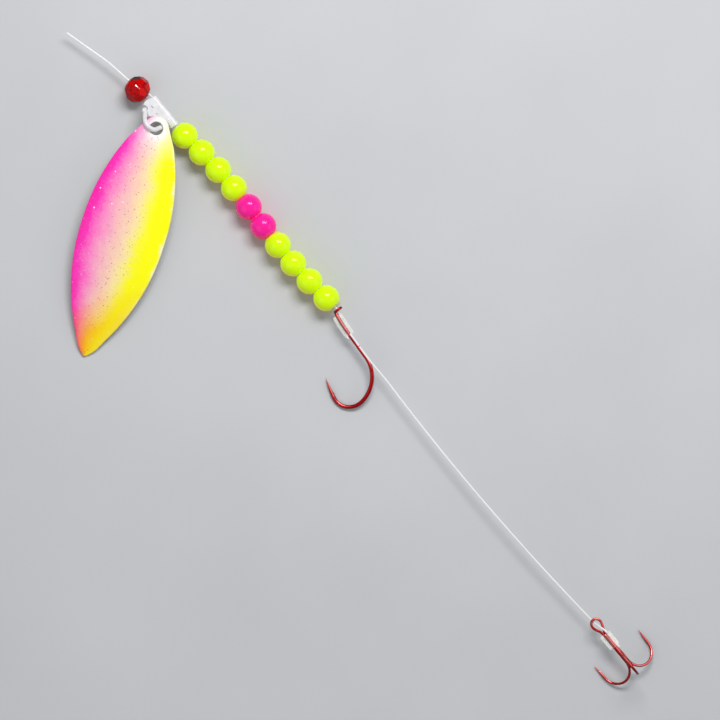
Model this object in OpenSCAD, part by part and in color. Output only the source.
// Two-hook spinner rig: a willow-leaf blade on a snap clevis, a string of
// round beads, a front octopus hook and a trailing treble hook, all carried
// on one length of monofilament line.
// Frame: origin at the cut front end of the leader, on the axis of the line.
// +X runs forward along the rig, +Y towards the side the blade lies on,
// +Z up. The rig lies on a flat surface at z = -bead_d / 2. Millimetres.

/* [Line] */
// Diameter of the monofilament line
line_d = 0.44; // [0.30:0.02:0.46]
// Straight length of line at the front end
leader_straight = 10; // [6:0.5:12]

/* [Beads] */
// Diameter of the round body beads
bead_d = 6; // [5:0.1:6]
// Hole through a body bead
bead_hole_d = 1.2; // [1.1:0.05:1.6]
// Length of a body bead between its two flats
bead_len = 5.36; // [4:0.02:5.4]
// Distance from one bead centre to the next
bead_pitch = 5.47; // [5.44:0.01:5.5]
// Diameter of the faceted front bead
front_bead_d = 5.9; // [5:0.1:6.2]
// Hole through the faceted front bead
front_bead_hole_d = 1.4; // [1.3:0.05:1.8]

/* [Clevis] */
// Outside diameter of the clevis barrel
barrel_d = 1.66; // [1.5:0.02:1.8]
// Bore of the clevis barrel
barrel_bore_d = 1.06; // [1.0:0.02:1.1]
// Length of the clevis barrel
barrel_len = 8.35; // [8:0.05:8.4]
// Diameter of the snap arm
arm_d = 1.1; // [0.9:0.02:1.14]
// Thickness of the web that holds the snap slot
web_t = 0.9; // [0.7:0.05:1.1]
// Tilt of the clevis loop above the flat, in degrees
clevis_tilt = 43; // [42:0.5:45]

/* [Blade] */
// Length of the blade
blade_len = 56.96; // [54:0.02:58]
// Width of the blade at its widest
blade_w = 19.62; // [18:0.02:20]
// Sheet thickness of the blade
blade_t = 0.5; // [0.4:0.02:0.54]
// Radius of the cup across the blade
cup_r_across = 34; // [28:1:60]
// Radius of the cup along the blade
cup_r_along = 190; // [170:5:230]
// Diameter of the hanging hole
blade_hole_d = 3.1; // [3.06:0.02:3.2]
// Distance from the head of the blade to the middle of its hole
hole_inset = 2.8; // [2.7:0.02:2.9]

/* [Hooks] */
// Wire diameter of the octopus hook
octo_wire_d = 0.9; // [0.7:0.02:0.92]
// Roll of the octopus hook about its shank, in degrees
octo_roll = 12.5; // [8:0.5:15]
// Wire diameter of the treble hook
treble_wire_d = 0.6; // [0.5:0.02:0.62]
// Radius of each round bend of the treble hook
treble_bend_r = 3.5; // [3.1:0.05:3.5]

/* [Hidden] */
$fn = 96;

// Colours
clear_line = [0.82, 0.84, 0.84, 0.8];
chartreuse = [0.82, 1.0, 0.02];
hot_pink = [1.0, 0.12, 0.58];
ruby = [0.75, 0.02, 0.06];
milky = [0.88, 0.88, 0.9];
lacquer = [0.62, 0.03, 0.05];
vinyl = [0.85, 0.85, 0.82, 0.5];
painted = [1.0, 0.62, 0.55];

line_r = line_d / 2;
swivel_gap = 0.09;            // half of the gap left where two lengths of line pivot
coil_pitch = line_d + 0.04;   // advance of the line per turn round a shank
turn_points = 14;             // path points per turn of a coil

// ----------------------------------------------------------------- helpers
function unit(v) = v / norm(v);
function square_to(v, axis) = unit(v - (v * axis) * axis);
function last(list) = list[len(list) - 1];
function rest(list) = [for (i = [1 : len(list) - 1]) list[i]];
function reversed(list) = [for (i = [len(list) - 1 : -1 : 0]) list[i]];

// Level directions along and square to a heading, measured from -X towards +Y
function dir(heading) = [-cos(heading), sin(heading), 0];
function side(heading) = [sin(heading), cos(heading), 0];

// Point at t = 0..1 on the smooth curve that leaves start along start_dir
// and reaches end along end_dir
function curve_point(start, start_dir, end, end_dir, t) =
    let (pull = norm(end - start))
    (2 * t * t * t - 3 * t * t + 1) * start + (t * t * t - 2 * t * t + t) * pull * start_dir
    + (3 * t * t - 2 * t * t * t) * end + (t * t * t - t * t) * pull * end_dir;

// Points of that curve between two headings; its end point is optional
function curve(start, start_heading, end, end_heading, count, with_end = false) =
    [for (i = [0 : count - (with_end ? 0 : 1)])
        curve_point(start, dir(start_heading), end, dir(end_heading), i / count)];

function bezier_point(a, b, c, d, t) =
    (1 - t) * (1 - t) * (1 - t) * a + 3 * (1 - t) * (1 - t) * t * b
    + 3 * (1 - t) * t * t * c + t * t * t * d;

// Flat path of straights and arcs, as [x, y, heading] points.
// Each step is [length, turn in degrees], cut into turns of max_turn or less.
function split(list, max_turn) =
    [for (step = list)
        let (parts = max(1, ceil(abs(step[1]) / max_turn)))
        for (k = [1 : parts]) step / parts];
function walk(list, start, start_heading, max_turn = 6) =
    let (st = split(list, max_turn))
    [for (i = 0, at = start, heading = start_heading; i <= len(st);
          at = i < len(st)
              ? at + st[i][0] * [cos(heading + st[i][1] / 2), sin(heading + st[i][1] / 2)] : at,
          heading = i < len(st) ? heading + st[i][1] : heading,
          i = i + 1) [at[0], at[1], heading]];

// Tangents and twist-free normals along a path
function tangents(path) = [for (i = [0 : len(path) - 1])
    unit(path[min(i + 1, len(path) - 1)] - path[max(i - 1, 0)])];
function normals(tans, first) =
    [for (i = 0, normal = square_to(first, tans[0]); i < len(tans);
          i = i + 1, normal = i < len(tans) ? square_to(normal, tans[i]) : normal) normal];

// Rings of points round a path; radius is one value or one per path point
function rings(path, radius, sides, normal) =
    let (tans = tangents(path), norms = normals(tans, normal))
    [for (i = [0 : len(path) - 1])
        let (across = cross(tans[i], norms[i]), r = is_list(radius) ? radius[i] : radius)
        for (k = [0 : sides - 1])
            path[i] + r * (cos(360 * k / sides) * norms[i] + sin(360 * k / sides) * across)];

// Triangles that join successive rings, the first starting at point `from`
function walls(from, ring_count, sides) =
    [for (i = [0 : ring_count - 2]) for (k = [0 : sides - 1])
        let (a = from + i * sides + k, b = from + i * sides + (k + 1) % sides)
        each [[a, a + sides, b], [b, a + sides, b + sides]]];
function flipped(faces) = [for (f = faces) [f[0], f[2], f[1]]];

// Round wire along a path
module wire(path, radius, sides, normal = [0.03, 0.05, 1]) {
    tail_ring = (len(path) - 1) * sides;
    ends = [for (k = [1 : sides - 2])
        each [[0, k, k + 1], [tail_ring, tail_ring + k + 1, tail_ring + k]]];
    polyhedron(points = rings(path, radius, sides, normal),
        faces = concat(walls(0, len(path), sides), ends), convexity = 10);
}

// Open tube along a path
module tube(path, outer_r, inner_r, sides, normal) {
    inner = len(path) * sides;
    rims = [for (k = [0 : sides - 1])
        let (a = k, b = (k + 1) % sides, c = inner - sides + a, d = inner - sides + b)
        each [[a, b, inner + a], [b, inner + b, inner + a],
            [c, inner + c, d], [d, inner + c, inner + d]]];
    polyhedron(
        points = concat(rings(path, outer_r, sides, normal), rings(path, inner_r, sides, normal)),
        faces = concat(walls(0, len(path), sides), flipped(walls(inner, len(path), sides)), rims),
        convexity = 10);
}

// Puts local +Z along a level heading
module along(point, heading) translate(point) rotate([0, 90, 180 - heading]) children();

// Puts the local axes along three given vectors
module place(x_axis, y_axis, z_axis, origin)
    multmatrix(concat(
        [for (i = [0 : 2]) [x_axis[i], y_axis[i], z_axis[i], origin[i]]],
        [[0, 0, 0, 1]])) children();

// ---------------------------------------------------------------- main line
leader_heading = -13.4;
leader_end = leader_straight * dir(leader_heading);
leader_overlap = 0.6;         // how far the curved line reaches into the straight
front_bead_entry = [-17.33, -3.45, 0];
entry_heading = -8.5;
barrel_front = [-24.02, -4.97, 0];
barrel_front_heading = -3;
barrel_heading = 1.8;
barrel_rear = barrel_front + barrel_len * dir(barrel_heading);
octo_eye = [-88.28, -4.74, 0];
octo_eye_heading = 4;

// Heading of the string between bead i and bead i + 1: it lies in a gentle S
bead_count = 10;
first_bead = [-35.38, -4.70, 0];
function string_heading(i) = 4.2 * cos(360 * (i - 5.2) / 9.5);
bead_centres = [for (i = 1, at = first_bead; i <= bead_count;
    at = at + bead_pitch * dir(string_heading(i)), i = i + 1) at];
bead_headings = [for (i = [1 : bead_count])
    i == 1 ? -1.5 : i == bead_count ? -1.6 : (string_heading(i - 1) + string_heading(i)) / 2];

main_path = concat(
    [leader_end - leader_overlap * dir(leader_heading)],
    curve(leader_end, leader_heading, front_bead_entry, entry_heading, 5),
    curve(front_bead_entry, entry_heading, barrel_front, barrel_front_heading, 7),
    curve(barrel_front, barrel_front_heading, barrel_rear, barrel_heading, 5),
    curve(barrel_rear, barrel_heading, bead_centres[0], bead_headings[0], 2),
    [for (i = [0 : bead_count - 2]) each curve(bead_centres[i], bead_headings[i],
        bead_centres[i + 1], bead_headings[i + 1], 3)],
    curve(last(bead_centres), last(bead_headings),
        octo_eye - swivel_gap * dir(octo_eye_heading), octo_eye_heading, 3, with_end = true));

module leader_line() color(clear_line) {
    along([0, 0, 0], leader_heading) cylinder(h = leader_straight, r = line_r);
    wire(main_path, line_r * 0.985, 10);
}

// ------------------------------------------------------------------- beads
front_bead_centre = [-20.25, -3.92, 0];
front_bead_heading = -12;
front_bead_facet_r = front_bead_d / 2 * 0.965;   // from the centre to each facet
front_bead_len = front_bead_d * 0.93;
front_bead_blank = 8;                            // clears the bead on every side
// Rings of flat facets: [latitude, first longitude]
facet_rings = [[0, 0], [38, 22.5], [-38, 22.5], [68, 0], [-68, 0]];

module faceted_ball() intersection_for (ring = facet_rings)
    intersection_for (k = [0 : 3])
        intersection_for (half = [0, 180])
            rotate([0, 0, ring[1] + 45 * k + half]) rotate([0, -ring[0], 0])
                translate([front_bead_facet_r - 10, 0, 0]) cube([20, 20, 20], center = true);

module front_bead() color(ruby) along(front_bead_centre, front_bead_heading) difference() {
    intersection() {
        cube([front_bead_blank, front_bead_blank, front_bead_len], center = true);
        faceted_ball();
    }
    cylinder(h = front_bead_blank, d = front_bead_hole_d, center = true);
}

module body_bead(i) along(bead_centres[i - 1], bead_headings[i - 1]) difference() {
    intersection() {
        sphere(d = bead_d);
        cube([bead_d + 1, bead_d + 1, bead_len], center = true);
    }
    cylinder(h = bead_d + 1, d = bead_hole_d, center = true);
}
module bead_01() color(chartreuse) body_bead(1);
module bead_02() color(chartreuse) body_bead(2);
module bead_03() color(chartreuse) body_bead(3);
module bead_04() color(chartreuse) body_bead(4);
module bead_05() color(hot_pink) body_bead(5);
module bead_06() color(hot_pink) body_bead(6);
module bead_07() color(chartreuse) body_bead(7);
module bead_08() color(chartreuse) body_bead(8);
module bead_09() color(chartreuse) body_bead(9);
module bead_10() color(chartreuse) body_bead(10);

// ------------------------------------------------------------------ clevis
// Loop plane: local x runs rearward along the barrel, y out from its axis
clevis_x = dir(barrel_heading);
clevis_y = cos(clevis_tilt) * side(barrel_heading) + sin(clevis_tilt) * [0, 0, 1];
module clevis_frame()
    place(clevis_x, clevis_y, cross(clevis_x, clevis_y), barrel_front) children();

arm_r = arm_d / 2;
arm_root = [7.12, 1.05];
stem = unit([6.4, 5.3] - arm_root);
arm_catch = [0.95, 4.3];      // middle of the round notch the arm ends in
notch_r = 0.76;
seat_r = arm_r + 0.07;
boss_r = 0.95;
slot_centre = [1.75, 2.35];
web_hole = [3.64, 2.7];
// Outline of the web, [x, y] in the loop plane
web_outline = [
    [0.15, 0.2], [-0.28, 1.1], [-0.35, 2.6], [-0.1, 3.6], [0.35, 4.15], [1.7, 4.15],
    [1.95, 4.24], [2.62, 4.72], [2.9, 4.82], [3.15, 4.66], [3.5, 4.2], [3.9, 3.55],
    [4.3, 2.95], [5.0, 2.45], [5.9, 2.2], [6.3, 1.95], [8.0, 1.95], [8.22, 1.7], [8.22, 0.2]];

module web_cut(point, r) translate([point[0], point[1], -2]) cylinder(h = 4, r = r);

module clevis_body() color(milky) clevis_frame() difference() {
    union() {
        rotate([0, 90, 0]) cylinder(h = barrel_len, d = barrel_d);
        translate([0, 0, -web_t / 2]) linear_extrude(height = web_t) polygon(web_outline);
        // round boss about the foot of the arm
        translate([arm_root[0], 0.9, 0]) rotate([-90, 0, 0]) cylinder(h = 1.05, r = boss_r);
    }
    translate([-1, 0, 0]) rotate([0, 90, 0]) cylinder(h = barrel_len + 2, d = barrel_bore_d);
    web_cut(arm_catch, notch_r);
    hull() for (k = [-0.22, 0.22]) web_cut(slot_centre + k * [1, -0.2], 0.15);
    web_cut(web_hole, 0.16);
    // seat of the arm
    translate([arm_root[0], arm_root[1], 0]) rotate([0, 0, -atan2(stem[0], stem[1])])
        rotate([-90, 0, 0]) cylinder(h = 4, r = seat_r);
}

// The arm leaves its seat along the stem, passes through the blade's hole,
// turns over the top of the loop and ends in the notch of the web
arm_path = concat(
    [for (k = [0 : 3]) arm_root + (0.04 + 1.1 * k) * stem],
    [for (k = [0 : 14])
        bezier_point(arm_root + 4.1 * stem, [6.25, 6.9], [3.9, 7.8], [2.1, 5.15], k / 14)],
    [[1.55, 4.72], [1.2, 4.45], arm_catch, [0.66, 4.12]]);
arm_radii = [for (i = [0 : len(arm_path) - 1])
    i == len(arm_path) - 1 ? arm_r * 0.7 : i == 0 ? arm_r * 0.9 : arm_r];

module clevis_snap_arm() color(milky) clevis_frame() {
    wire([for (p = arm_path) [p[0], p[1], 0]], arm_radii, 16, [0, 0, 1]);
    // thumb nub that opens the snap
    translate([1.12, 4.86, -0.38]) cylinder(h = 0.76, r = 0.3, $fn = 24);
}

// ------------------------------------------------------------------- blade
blade_heading = 59.26;
blade_rise = 1.55;            // slope of the blade up from head to tail, in degrees
hole_centre = [-30.09, -0.90, 3.62];
// Local x runs from head to tail, z up out of the face
blade_x = dir(blade_heading) * cos(blade_rise) + [0, 0, sin(blade_rise)];
blade_z = square_to([0, 0, 1], blade_x);

// Stations below are distances from the head of the blade
head_r = 2.9;
neck = 6;                     // where the outline takes over from the neck line
belly = 27;                   // rear end of the shoulder curve
tail_start = 28.5;
tip_len = 2.46;               // length of the rounding at the tip
tip_zone = 2.6;               // length outlined with finer steps
// The tail arc would cross the centre line 0.64 beyond the rounded tip
tail_r = (pow(blade_len + 0.64 - tail_start, 2) + pow(blade_w / 2, 2)) / blade_w;

// Half width of the willow-leaf outline at a station
function shoulder(s) = blade_w / 2 * (1 - 0.782 * pow((belly - s) / belly, 2.08));
function tail(s) =
    sqrt(tail_r * tail_r - pow(max(0, s - tail_start), 2)) - tail_r + blade_w / 2;
function tip_round(s) = s > blade_len - tip_len
    ? sqrt(max(0, 1 - pow((s - blade_len + tip_len) / tip_len, 2))) : 1;
function half_w(s) = s < belly ? shoulder(s) : tail(s) * tip_round(s);

// Angle at which the straight neck line leaves the round head
neck_angle = atan2(half_w(neck), neck - head_r)
    + acos(head_r / norm([neck - head_r, half_w(neck)]));
blade_edge = concat(
    [for (k = [0 : 8]) let (a = 180 - (180 - neck_angle) * k / 8)
        [head_r + head_r * cos(a), head_r * sin(a)]],
    [for (k = [0 : 24]) let (s = neck + (blade_len - tip_zone - neck) * k / 24) [s, half_w(s)]],
    [for (k = [1 : 6]) let (s = blade_len - tip_zone + tip_zone * sin(15 * k)) [s, half_w(s)]]);
blade_outline = concat(blade_edge,
    [for (k = [len(blade_edge) - 2 : -1 : 1]) [blade_edge[k][0], -blade_edge[k][1]]]);

// Doubly curved sheet, centred on the local z axis below the origin
module cup_shell() rotate([90, 0, 0]) rotate([0, 0, 70]) rotate_extrude(angle = 30, $fn = 720)
    translate([cup_r_along - cup_r_across, 0]) intersection() {
        difference() {
            circle(r = cup_r_across, $fn = 360);
            circle(r = cup_r_across - blade_t, $fn = 360);
        }
        translate([cup_r_across - 6, -14]) square([8, 28]);
    }

module blade() color(painted)
    place(blade_x, cross(blade_z, blade_x), blade_z, hole_centre) difference() {
        intersection() {
            translate([0, 0, blade_t / 2 - cup_r_along]) cup_shell();
            translate([-hole_inset, 0, -14]) linear_extrude(height = 18) polygon(blade_outline);
        }
        translate([0, 0, -3]) cylinder(h = 6, d = blade_hole_d);
    }

// ------------------------------------------------------------ octopus hook
octo_heading = 5.4;
octo_wire_r = octo_wire_d / 2;
// The hook is flat: octo_rear along its shank, octo_out towards its point
octo_rear = dir(octo_heading);
octo_out = cos(octo_roll) * side(octo_heading) - sin(octo_roll) * [0, 0, 1];
octo_normal = cross(octo_rear, octo_out);

// Direction of a flat heading, and place of a flat point x, y
// that stands `lift` out of the plane of the hook
function octo_dir(heading) =
    cos(heading - octo_heading) * octo_rear + sin(heading - octo_heading) * octo_out;
function octo(x, y, lift = 0) = octo_eye
    + (x * cos(octo_heading) + y * sin(octo_heading)) * octo_rear
    + (-x * sin(octo_heading) + y * cos(octo_heading)) * octo_out + lift * octo_normal;

eye_r = 0.85;
eye_wire_r = 0.31;
shank_root_r = 0.30;          // wire radius where the shank leaves the eye
shank_step = 0.5;
shank_step_turn = -0.85;
shank_steps = 10;
shank_curve_len = shank_steps * shank_step;
shank_curve = walk([for (k = [1 : shank_steps]) [shank_step, shank_step_turn]],
    [0, eye_r], octo_heading - shank_steps * shank_step_turn);
shank_end = last(shank_curve);

// Flat [x, y, heading] at distance s along the shank
function on_straight(s) =
    [shank_end[0] + s * cos(octo_heading), shank_end[1] + s * sin(octo_heading), octo_heading];
function on_shank(s) =
    let (i = min(floor(s / shank_step), shank_steps - 1), part = s / shank_step - i)
    s >= shank_curve_len ? on_straight(s - shank_curve_len)
    : shank_curve[i] + part * (shank_curve[i + 1] - shank_curve[i]);

shank = concat(shank_curve, [for (k = [1 : 4]) on_straight(1.85 * k)]);
// Steps of the bend: [length, turn]
octo_bend = walk([[4.56, 35], [6.54, 45.2], [3.55, 45.3], [4.04, 63.3]],
    [last(shank)[0], last(shank)[1]], octo_heading);
bend_end = last(octo_bend);
octo_leg = walk([for (k = [0 : 5]) [0.864, 1.59]], [bend_end[0], bend_end[1]], bend_end[2]);
octo_path = concat(shank, rest(octo_bend), rest(octo_leg));
octo_last = len(octo_path) - 1;
octo_radii = [for (i = [0 : octo_last])
    i < 3 ? shank_root_r + (octo_wire_r - shank_root_r) * i / 3 :
    i > octo_last - 5 ? max(0.03, octo_wire_r * (octo_last - i) / 5.2) : octo_wire_r];

// Puts local +Z straight back against a flat heading
module octo_facing(point, heading)
    place(octo_normal, cross(octo_dir(heading), octo_normal), -octo_dir(heading), point)
        children();

module octopus_hook() color(lacquer) {
    wire([for (p = octo_path) octo(p[0], p[1])], octo_radii, 14, octo_normal);
    // eye, square to the line that passes through it
    octo_facing(octo_eye, 5.3)
        rotate_extrude() translate([eye_r, 0]) circle(r = eye_wire_r, $fn = 32);
    // barb on the inside of the point
    barb = octo_leg[3];
    octo_facing(octo(barb[0], barb[1]), barb[2] - 26)
        translate([0, 0, -0.1]) cylinder(h = 1.15, r1 = 0.3, r2 = 0.04, $fn = 24);
}

// Point beside the shank: s along it, at radius r and angle a around it
// (a = 180 is the outer side, away from the point of the hook)
function beside(s, r, a) = let (w = on_shank(s))
    octo(w[0] - r * cos(a) * sin(w[2]), w[1] + r * cos(a) * cos(w[2]), r * sin(a));

// The line coils round the shank, then lies along it to where it swivels
lie_r = octo_wire_r + line_r + 0.03;
coil_turns = 7;
coil_from = 1.25;
coil_to = coil_from + coil_turns * coil_pitch;
shank_exit = 11.9;
snell_path = concat(
    [octo(swivel_gap, 0), octo(0.35, 0.03), beside(0.75, lie_r + 0.02, 180)],
    [for (k = [0 : turn_points * coil_turns])
        beside(coil_from + coil_pitch * k / turn_points, lie_r, 180 + 360 * k / turn_points)],
    [for (s = [coil_to + 0.5 : 1 : shank_exit - swivel_gap - 0.4]) beside(s, lie_r, 180)],
    [beside(shank_exit - swivel_gap, lie_r, 180)]);
module octopus_snell() color(clear_line) wire(snell_path, line_r, 8, octo_normal);

// Sleeve over the coil, slightly swollen in the middle
module octopus_sleeve() color(vinyl)
    tube([for (k = [0 : 10]) beside(0.95 + 5.2 * k / 10, 0.04, 180)],
        [for (k = [0 : 10]) 1.12 + 0.10 * sin(18 * k)],
        lie_r + line_r + 0.09, 24, octo_normal);

// ------------------------------------------------------------ trailing line
treble_centre = [-185.63, -1.60, 1.0];
treble_heading = 1.5;
// Point of the treble hook: rearward along its axis, sideways and up
function treble(rear, out, up) =
    treble_centre + rear * dir(treble_heading) + out * side(treble_heading) + [0, 0, up];

trailer_start = beside(shank_exit, lie_r, 180);
trailer_end = treble(-6.25, 0.25, -0.85);
trailer_end_dir = unit(dir(-2.7) + [0, 0, -0.03]);
trailer_split = 0.45;         // part of the trailer that belongs to its front length
trailer_gap = swivel_gap / norm(trailer_end - trailer_start);

// One length of the trailer between two parts of its run, less a gap at each end
module trailer(from, to, count) wire([for (k = [0 : count])
    curve_point(trailer_start, dir(octo_heading), trailer_end, trailer_end_dir,
        from + trailer_gap + (to - from - 2 * trailer_gap) * k / count)], line_r, 10);
module trailer_line_front() color(clear_line) trailer(0, trailer_split, 14);
module trailer_line_rear() color(clear_line) trailer(trailer_split, 1, 16);

// ------------------------------------------------------------- treble hook
treble_wire_r = treble_wire_d / 2;
lay_r = (treble_wire_d + 0.02) / sqrt(3);    // three wires side by side
prong_angles = [-30, 210, 90];               // two prongs rest low, one stands up
prong_turn = 177;

// One prong from the shank outwards, as [rear, radial]
prong_bend = walk([[treble_bend_r * prong_turn * PI / 180, prong_turn]], [6.2, lay_r], 0, 9);
prong = concat([[3.2, lay_r], [4.8, lay_r]],
    [for (w = prong_bend) [w[0], w[1]]],
    [for (k = [1 : 5]) let (w = last(prong_bend))
        [w[0] + 0.79 * k * cos(prong_turn), w[1] + 0.79 * k * sin(prong_turn)]]);
prong_last = len(prong) - 1;
prong_radii = [for (i = [0 : prong_last]) i > prong_last - 4
    ? max(0.025, treble_wire_r * (prong_last - i) / 4.2) : treble_wire_r];
function prong_point(p, angle) = treble(p[0], p[1] * cos(angle), p[1] * sin(angle));
function prong_path(angle) = [for (p = prong) prong_point(p, angle)];

// Half of the eye and its shank, as [rear, sideways], ending on the centre line
eye_half_w = 1.15;
shank_out = lay_r * cos(30);
shank_up = -lay_r * sin(30);
half_eye = concat(
    [for (k = [0 : 7]) [1.2 - 3.1 * k / 7, shank_out]],
    [for (k = [1 : 8]) [-1.9 - 2.7 * k / 8,
        shank_out + (eye_half_w - shank_out) * (0.5 - 0.5 * cos(180 * k / 8))]],
    [for (k = [1 : 6]) [-4.6 - 1.27 * sin(15 * k), eye_half_w * cos(15 * k)]]);

// One wire makes both low prongs and the eye between them
double_path = concat(
    reversed(prong_path(prong_angles[0])),
    [for (p = half_eye) treble(p[0], p[1], shank_up)],
    [for (p = rest(reversed(half_eye))) treble(p[0], -p[1], shank_up)],
    prong_path(prong_angles[1]));
double_radii = concat(reversed(prong_radii),
    [for (i = [1 : 2 * len(half_eye) - 1]) treble_wire_r], prong_radii);

// Small cone on the inside of a point
module prong_barb(angle) {
    foot = prong[prong_last - 2];
    base = prong_point(foot, angle);
    axis = unit(prong_point(foot + [0.9, -0.42], angle) - base);
    across = unit(cross(axis, [0.2, 0.4, 0.9]));
    place(across, cross(axis, across), axis, base - 0.05 * axis)
        cylinder(h = 0.75, r1 = 0.16, r2 = 0.03, $fn = 10);
}
module treble_double_hook() color(lacquer) {
    wire(double_path, double_radii, 12, [0, 0, 1]);
    prong_barb(prong_angles[0]);
    prong_barb(prong_angles[1]);
}

// Places of the single wire along its shank, ahead of its prong
single_shank = [-1.75, -1.4, -0.4, 0.8, 2.0];
single_path = concat([for (rear = single_shank) treble(rear, 0, lay_r)],
    prong_path(prong_angles[2]));
single_radii = concat([0.12], [for (i = rest(single_shank)) treble_wire_r], prong_radii);
module treble_single_hook() color(lacquer) {
    wire(single_path, single_radii, 12, [0, 1, 0]);
    prong_barb(prong_angles[2]);
}

// The line runs in over the eye and wraps round the three shanks
wrap_r = lay_r + treble_wire_r + line_r + 0.03;
wrap_turns = 5;
wrap_from = -1.25;
wrap_angle = 142;
function wrap_point(rear, angle) = treble(rear, wrap_r * cos(angle), wrap_r * sin(angle));
// Way in from the trailer to the first wrap: [rear, sideways, up]
wrap_entry = [
    [-5.6, 0.20, -0.84], [-5.1, 0.10, -0.74], [-4.4, -0.05, -0.42], [-3.7, -0.22, 0.02],
    [-3.0, -0.42, 0.44], [-2.3, -0.60, 0.66], [-1.7, -0.68, 0.61]];
treble_snell_path = concat(
    [trailer_end + swivel_gap * trailer_end_dir],
    [for (p = wrap_entry) treble(p[0], p[1], p[2])],
    [for (k = [1 : turn_points * wrap_turns])
        wrap_point(wrap_from + coil_pitch * k / turn_points, wrap_angle + 360 * k / turn_points)],
    [for (s = [0.35, 0.8, 1.5])
        wrap_point(wrap_from + coil_pitch * wrap_turns + s, wrap_angle)]);
module treble_snell() color(clear_line) wire(treble_snell_path, line_r, 8, [0, 0, 1]);

// Sleeve over the wraps, slightly swollen in the middle
module treble_sleeve() color(vinyl)
    tube([for (k = [0 : 6]) treble(-1.65 + 3.3 * k / 6, 0, 0)],
        [for (k = [0 : 6]) wrap_r + line_r + 0.19 + 0.03 * sin(180 * k / 6)],
        wrap_r + line_r + 0.03, 28, [0, 0, 1]);

// -------------------------------------------------------------------- draw
leader_line();
front_bead();
clevis_body();
clevis_snap_arm();
blade();
bead_01();
bead_02();
bead_03();
bead_04();
bead_05();
bead_06();
bead_07();
bead_08();
bead_09();
bead_10();
octopus_hook();
octopus_snell();
octopus_sleeve();
trailer_line_front();
trailer_line_rear();
treble_double_hook();
treble_single_hook();
treble_snell();
treble_sleeve();
